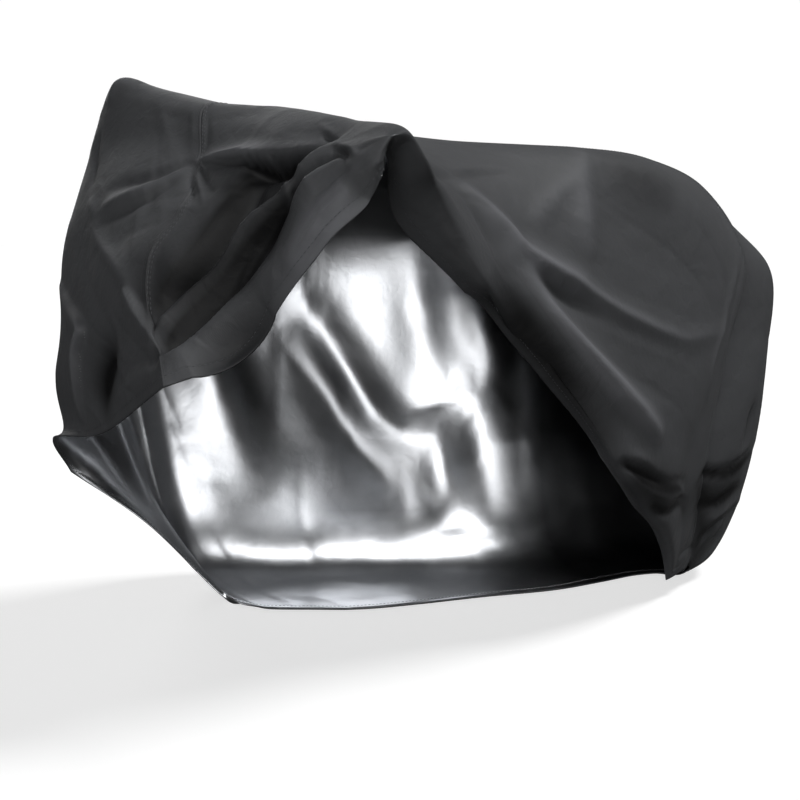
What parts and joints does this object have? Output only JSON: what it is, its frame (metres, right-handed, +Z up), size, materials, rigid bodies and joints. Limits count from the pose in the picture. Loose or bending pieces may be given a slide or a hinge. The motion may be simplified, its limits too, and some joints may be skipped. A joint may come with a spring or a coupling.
{
  "type": "bicycle cover",
  "caption": "Charcoal fabric bicycle cover with a silver lining, hung with its near side lifted and its far side falling to the ground.",
  "frame": {"origin": "under the top of the cover near its front, on the cloth's underside, where it is held up", "axes": "+X towards the rear, +Y away from the lifted side, +Z up"},
  "size_m": [1.722, 1.0158, 1.1468],
  "materials": {
    "coated_cloth": "matt charcoal woven polyester outside, silver coating inside"
  },
  "bodies": {
    "root": {"near_half": "coated_cloth", "far_half": "coated_cloth"}
  },
  "joints": []
}
